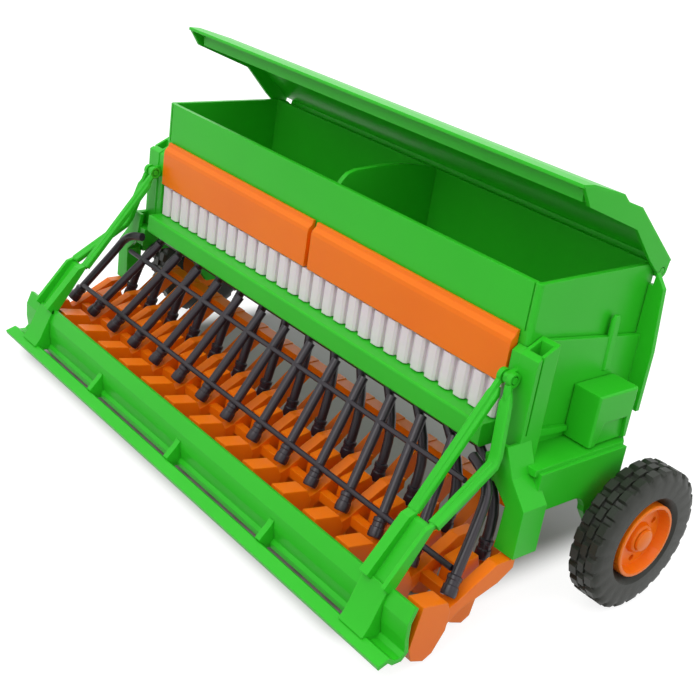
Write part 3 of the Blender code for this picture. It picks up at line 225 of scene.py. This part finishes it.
def makePlastic(name, values, moulding):
    # moulded plastic: slow colour drift, fine moulding grain in roughness and bump
    material = bpy.data.materials.new(name + "Look")
    material.use_nodes = True
    nodes, links = material.node_tree.nodes, material.node_tree.links
    shader = nodes["Principled BSDF"]
    shader.inputs["Specular IOR Level"].default_value = values["shine"]
    shader.inputs["Subsurface Weight"].default_value = values["depth"]
    shader.inputs["Subsurface Radius"].default_value = moulding["lightReach"]
    shader.inputs["Subsurface Scale"].default_value = moulding["lightDepth"]
    where = nodes.new("ShaderNodeTexCoord")
    drift = nodes.new("ShaderNodeTexNoise")
    drift.inputs["Scale"].default_value = moulding["driftScale"]
    drift.inputs["Detail"].default_value = moulding["driftDetail"]
    tint = nodes.new("ShaderNodeMix")
    tint.data_type = "RGBA"  # its colours are inputs 6 and 7, and output 2
    tint.inputs[6].default_value = (*values["deep"], 1.0)
    tint.inputs[7].default_value = (*values["colour"], 1.0)
    grain = nodes.new("ShaderNodeTexNoise")
    grain.inputs["Scale"].default_value = moulding["grainScale"]
    grain.inputs["Detail"].default_value = moulding["grainDetail"]
    rough = nodes.new("ShaderNodeMapRange")
    rough.inputs["To Min"].default_value = values["rough"] - moulding["smoother"]
    rough.inputs["To Max"].default_value = values["rough"] + moulding["rougher"]
    edge = nodes.new("ShaderNodeBevel")  # rounds the edges in the light, not in the mesh
    edge.samples = moulding["edgeSamples"]
    edge.inputs["Radius"].default_value = values["edge"]
    bump = nodes.new("ShaderNodeBump")
    bump.inputs["Strength"].default_value = values["grain"]
    bump.inputs["Distance"].default_value = moulding["grainHeight"]
    links.new(where.outputs["Object"], drift.inputs["Vector"])
    links.new(where.outputs["Object"], grain.inputs["Vector"])
    links.new(drift.outputs["Fac"], tint.inputs[0])
    links.new(tint.outputs[2], shader.inputs["Base Color"])
    links.new(grain.outputs["Fac"], rough.inputs["Value"])
    links.new(rough.outputs["Result"], shader.inputs["Roughness"])
    links.new(grain.outputs["Fac"], bump.inputs["Height"])
    links.new(edge.outputs["Normal"], bump.inputs["Normal"])
    links.new(bump.outputs["Normal"], shader.inputs["Normal"])
    return material


looks = {name: makePlastic(name, values, mouldingSet) for name, values in plasticSet.items()}
slotOf = {part["node"]: part["material_slot"] for part in frame["record"]["subparts"]}
for node, obj in frame["nodes"].items():
    for place in obj.material_slots:
        place.material = looks[slotOf[node]]
print("finishes are on the CAD pieces")

# lengths below are in millimetres from the hopper's rear rim, as in the part's source
millimetre = 0.001
hopperRim = np.array((0.0, -0.005875, 0.0995))
smoothAngle = math.radians(35.0)


def surface(points, loop=False):
    # quads between neighbouring points of a grid; columns close on themselves,
    # rows do too for a ring, and otherwise get a flat end each
    rows, columns = points.shape[:2]
    index = np.arange(rows * columns).reshape(rows, columns)
    here = index if loop else index[:-1]
    after = np.roll(index, -1, axis=0) if loop else index[1:]
    quads = np.stack((here, after, np.roll(after, -1, axis=1), np.roll(here, -1, axis=1)), axis=-1)
    faces = quads.reshape(-1, 4).tolist()
    if not loop:
        faces += [index[0][::-1].tolist(), index[-1].tolist()]
    return points.reshape(-1, 3), faces


def carried(path, profile, sizes=None, hint=(1.0, 0.0, 0.0)):
    # point = path point + profile across * side + profile up * rise, times the size there
    path = np.asarray(path, float)
    sizes = np.ones(len(path)) if sizes is None else np.asarray(sizes, float)
    along = np.gradient(path, axis=0)
    along /= np.linalg.norm(along, axis=1, keepdims=True)
    side = np.asarray(hint) - along * (along @ np.asarray(hint))[:, None]
    side /= np.linalg.norm(side, axis=1, keepdims=True)
    rise = np.cross(along, side)
    across, up = np.asarray(profile, float).T
    ring = across[None, :, None] * side[:, None] + up[None, :, None] * rise[:, None]
    return path[:, None] + ring * sizes[:, None, None]


def circle(count):
    # points at equal angles on a circle of radius 1
    turn = np.arange(count) * (2.0 * np.pi / count)
    return np.stack((np.cos(turn), np.sin(turn)), axis=-1)


def bar(width, depth, chamfer):
    # rectangle with its four corners cut
    w, d = 0.5 * width, 0.5 * depth
    half = [(w, -d + chamfer), (w, d - chamfer), (w - chamfer, d), (-w + chamfer, d)]
    return half + [(-x, -y) for x, y in half]


def addPiece(name, patches, slotName, body, replaced=()):
    # patches are (points, faces) in millimetres, all joined in one mesh
    verts, faces, start = [], [], 0
    for points, quads in patches:
        verts.append(points)
        faces += [[corner + start for corner in face] for face in quads]
        start += len(points)
    mesh = bpy.data.meshes.new(name)
    mesh.from_pydata(np.concatenate(verts) * millimetre + hopperRim, [], faces)
    shape = bmesh.new()
    shape.from_mesh(mesh)
    bmesh.ops.recalc_face_normals(shape, faces=shape.faces)
    shape.to_mesh(mesh)
    shape.free()
    mesh.shade_smooth()
    mesh.set_sharp_from_angle(angle=smoothAngle)
    mesh.materials.append(looks[slotName])
    piece = bpy.data.objects.new(name, mesh)
    bpy.context.scene.collection.objects.link(piece)
    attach(piece, body)
    if replaced:
        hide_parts(*replaced)
    return piece


tyreSet = {
    "pitches": 24,
    "stations": (0.0, 0.56, 0.66, 0.90),  # shares of a pitch: block, block, gap, gap
    "raised": (1.0, 1.0, 0.0, 0.0),
    "shift": (0.0, 0.0, 0.5, 0.15),  # of each tread row, in pitches
    "inner": 113.5,
    "axle": (37.7, -76.3),
    "profile": [  # depth from the inner side, radius, tread row, drop in the gaps
        (1.6, 12.4, 0, 0.0), (0.0, 19.8, 0, 0.0), (0.7, 22.3, 1, 0.7), (1.4, 23.2, 1, 1.1),
        (4.0, 23.2, 1, 1.1), (4.3, 22.2, 0, 0.0), (4.6, 23.2, 2, 1.0), (6.7, 23.2, 2, 1.0),
        (7.0, 22.2, 0, 0.0), (7.3, 23.2, 3, 1.1), (9.8, 23.2, 3, 1.1), (10.4, 22.3, 3, 0.7),
        (11.0, 20.2, 0, 0.0), (10.9, 14.7, 0, 0.0), (8.1, 12.4, 0, 0.0),
    ],
}


def tyreGrid(values, side):
    # radius = profile radius - the row's drop where the angle lies in a gap
    depth, radius, row, drop = np.array(values["profile"]).T
    stations, raised = np.array(values["stations"]), np.array(values["raised"])
    turn = (np.arange(values["pitches"])[:, None] + stations).ravel()
    gap = np.tile(1.0 - raised, values["pitches"])
    angle = (turn[:, None] + np.array(values["shift"])[row.astype(int)]) * (2.0 * np.pi / values["pitches"])
    reach = radius - gap[:, None] * drop
    y, z = values["axle"]
    x = np.broadcast_to(side * (values["inner"] + depth), reach.shape)
    return np.stack((x, y + reach * np.cos(angle), z + reach * np.sin(angle)), axis=-1)


hubSet = {
    "depths": (9.75, 10.5, 10.85, 10.98),  # from the wheel's inner side
    "radii": (3.7, 3.5, 2.4, 0.8),
    "steps": 20,
}


def hubDome(values, wheel, side):
    # rings of falling radius along the axle
    y, z = wheel["axle"]
    path = [(side * (wheel["inner"] + depth), y, z) for depth in values["depths"]]
    return carried(path, circle(values["steps"]), values["radii"], hint=(0.0, 1.0, 0.0))


for word, side in (("right", 1), ("left", -1)):
    tread = surface(tyreGrid(tyreSet, side), loop=True)
    addPiece(f"treadedTyre_{word}", [tread], "tyre_rubber", f"wheel_{word}", [f"tyre_{word}"])
    dome = surface(hubDome(hubSet, tyreSet, side))
    addPiece(f"hubDome_{word}", [dome], "orange_plastic", f"wheel_{word}")
print("tyres and hubs are made")

tubeSet = {
    "count": 15,
    "radius": 1.6,
    "rearTop": (13.66, -7.9, -51.2),  # pitch, depth and height of the row
    "rearFoot": (15.62, -29.3, -81.8),
    "frontTop": (13.2, -2.5, -50.4),
    "frontBend": (15.4, -4.2, -63.5),
    "frontFoot": (15.63, -8.5, -81.0),
    "bent": [  # the outermost rear tube, above its foot
        (92.0, -9.8, -51.8), (97.6, -11.2, -53.0), (101.6, -12.4, -56.2), (103.4, -14.2, -60.5),
    ],
    "bentSteps": 6,  # points in each bend
    "frontSteps": 5,
    "bars": [  # ends of the two bars across the rear row
        ((-94.0, -13.4, -57.9), (94.0, -13.4, -57.9)),
        ((-106.2, -26.1, -75.6), (106.2, -26.1, -75.6)),
    ],
    "frontBar": (-2.5, -52.6),  # depth and height
    "barRadius": 0.95,
    "barSides": 10,
    "barRings": 3,
    "collar": [  # way up from the foot, radius
        (0.0, 1.75), (0.15, 2.2), (1.0, 2.35), (3.0, 2.25), (3.25, 2.0), (4.6, 2.0),
        (4.8, 2.2), (5.9, 2.2), (6.2, 1.6),
    ],
    "sides": 12,
}


def rounded(path, count):
    # quadratic curves between the middles of the legs, with each corner as control point
    path = np.asarray(path, float)
    middle = 0.5 * (path[1:] + path[:-1])
    share = np.linspace(0.0, 1.0, count)[:, None]
    runs = [path[:1]]
    for low, corner, high in zip(middle[:-1], path[1:-1], middle[1:]):
        runs.append((1 - share) ** 2 * low + 2 * share * (1 - share) * corner + share**2 * high)
    return np.concatenate(runs + [path[-1:]])


def seedTube(path, values):
    # the tube's line, then the collar's rings on its last straight leg
    path = np.asarray(path, float)
    foot = path[-1]
    way = path[-2] - foot
    way /= np.linalg.norm(way)
    rise, radii = np.array(values["collar"][::-1]).T
    rings = foot + way * rise[:, None]
    line = np.concatenate((path[:-1], rings))
    sizes = np.concatenate((np.full(len(path) - 1, values["radius"]), radii))
    return surface(carried(line, circle(values["sides"]), sizes))


def crossBar(start, end, values):
    # circle times the bar's radius, carried straight from end to end
    ring = circle(values["barSides"]) * values["barRadius"]
    line = np.linspace(start, end, values["barRings"])
    return surface(carried(line, ring, hint=(0.0, 1.0, 0.0)))


def tubeRow(values):
    # x at a tube's top and foot = the row's pitch there * its number from the middle;
    # the outermost tube on each side has the bent points in place of its top
    middle = (values["count"] - 1) / 2
    top, foot = np.array(values["rearTop"]), np.array(values["rearFoot"])
    patches = []
    for step in np.arange(values["count"]) - middle:
        scale = np.array((step, 1.0, 1.0))
        if abs(step) < middle:
            patches.append(seedTube([top * scale, foot * scale], values))
        else:
            side = np.array((np.sign(step), 1.0, 1.0))
            bent = [np.array(point) * side for point in values["bent"]]
            patches.append(seedTube(rounded(bent + [foot * scale], values["bentSteps"]), values))
    return patches + [crossBar(start, end, values) for start, end in values["bars"]]


def frontRow(values):
    # as the rear row with one tube fewer, each bent once on its way down
    middle = (values["count"] - 2) / 2
    rows = [np.array(values[key]) for key in ("frontTop", "frontBend", "frontFoot")]
    patches = []
    for step in np.arange(values["count"] - 1) - middle:
        scale = np.array((step, 1.0, 1.0))
        path = rounded([row * scale for row in rows], values["frontSteps"])
        patches.append(seedTube(path, values))
    reach = middle * rows[0][0]
    patches.append(crossBar((-reach, *values["frontBar"]), (reach, *values["frontBar"]), values))
    return patches


addPiece("rearSeedTubes", tubeRow(tubeSet), "black_plastic", "frame", ["rear_tubes"])
addPiece("frontSeedTubes", frontRow(tubeSet), "black_plastic", "frame", ["front_tubes"])
print("seed tubes are made")

strutSet = {
    "profile": bar(3.8, 2.3, 0.45),
    "inner": [(93.4, -7.4, -29.4), (93.5, -8.6, -31.4), (94.2, -32.4, -62.0)],
    "outer": [
        (97.3, -6.9, -29.6), (97.9, -7.9, -32.8), (100.9, -10.9, -46.6),
        (101.4, -12.2, -49.2), (102.4, -32.4, -62.2),
    ],
    "taper": 0.55,  # at the eyes
}


def strutPatches(values):
    # flat bars round the board's struts, slimmer at the eyes
    patches = []
    for side in (-1, 1):
        for key in ("inner", "outer"):
            path = np.array(values[key]) * (side, 1.0, 1.0)
            sizes = np.ones(len(path))
            sizes[0] = values["taper"]
            patches.append(surface(carried(path, values["profile"], sizes)))
    return patches


addPiece("boardStruts", strutPatches(strutSet), "green_plastic", "rear_board")
print("struts are made")

lidSet = {
    "axis": (52.5, -2.2),
    "open": math.radians(30.5),
    "reach": 91.3,
    "strip": [(1.5, 4.1), (2.9, -0.8), (2.1, -1.0), (0.9, 3.2)],  # from the axis, lid shut
}


def opened(points, values):
    # turned about the hinge from shut to the photographed opening
    points = np.asarray(points, float)
    c, s = math.cos(values["open"]), math.sin(values["open"])
    y, z = points[:, 0], points[:, 1]
    return np.stack((y * c + z * s, z * c - y * s), axis=-1) + values["axis"]


def prism(outline, low, high):
    # closed outline of (y, z) points between two places along X
    outline = np.asarray(outline, float)
    ends = [np.column_stack((np.full(len(outline), x), outline)) for x in (low, high)]
    return surface(np.stack(ends))


strip = prism(opened(lidSet["strip"], lidSet), -lidSet["reach"], lidSet["reach"])
addPiece("lidBackStrip", [strip], "green_plastic", "lid")
print("lid strip is made")

boardSet = {
    "strap": [  # (y, z) outline over the gutter
        (-45.9, -77.6), (-48.6, -83.6), (-50.7, -88.6), (-52.8, -91.5), (-51.4, -92.2), (-49.5, -93.6),
        (-47.3, -93.6), (-46.1, -92.2), (-46.8, -87.7), (-46.9, -82.5), (-45.1, -78.1),
    ],
    "strapSpan": (92.9, 103.0),
    "post": [
        (-46.9, -85.2), (-48.2, -87.0), (-51.6, -90.7), (-51.0, -92.2),
        (-49.5, -93.6), (-47.3, -93.6), (-46.1, -91.9),
    ],
    "posts": (-52.45, 0.0, 52.45),
    "postHalf": 1.1,
}


def boardPatches(values):
    # the straps below the arms, and a post at each rib between two slots
    low, high = values["strapSpan"]
    patches = [prism(values["strap"], low, high), prism(values["strap"], -high, -low)]
    for x in values["posts"]:
        patches.append(prism(values["post"], x - values["postHalf"], x + values["postHalf"]))
    return patches


addPiece("boardStraps", boardPatches(boardSet), "green_plastic", "rear_board")

dividerSet = {
    "outline": [
        (0.8, -12.0), (3.6, -6.0), (6.2, -2.4), (7.6, -0.6),
        (9.4, 1.1), (12.5, 2.1), (25.4, 3.0), (36.0, 2.6),
        (47.6, 0.7), (49.2, -0.2),
        (49.6, -23.6), (28.0, -30.0), (6.0, -30.0),
    ],
    "half": 0.9,
}
divider = prism(dividerSet["outline"], -dividerSet["half"], dividerSet["half"])
addPiece("dividerTop", [divider], "green_plastic", "frame")

plateSet = {
    "face": 96.7,  # the side plate's outer face
    "rib": [(35.2, -13.6), (35.2, -15.0), (35.6, -31.0)],
    "ribProfile": bar(3.4, 1.8, 0.6),
    "seam": [(16.0, -25.8), (24.9, -21.0), (32.6, -26.4)],
    "seamProfile": bar(0.35, 0.5, 0.1),
    "taper": 0.6,  # at the first point of each
}


def platePatches(values):
    # a rib and a thin raised line on each end plate, carried over its face
    patches = []
    for side in (-1, 1):
        for line, profile in (("rib", "ribProfile"), ("seam", "seamProfile")):
            path = [(side * values["face"], y, z) for y, z in values[line]]
            sizes = [values["taper"]] + [1.0] * (len(path) - 1)
            patches.append(surface(carried(path, values[profile], sizes, hint=(0.0, 1.0, 0.0))))
    return patches


addPiece("plateRibs", platePatches(plateSet), "green_plastic", "frame")
print("board, divider and plate details are made")
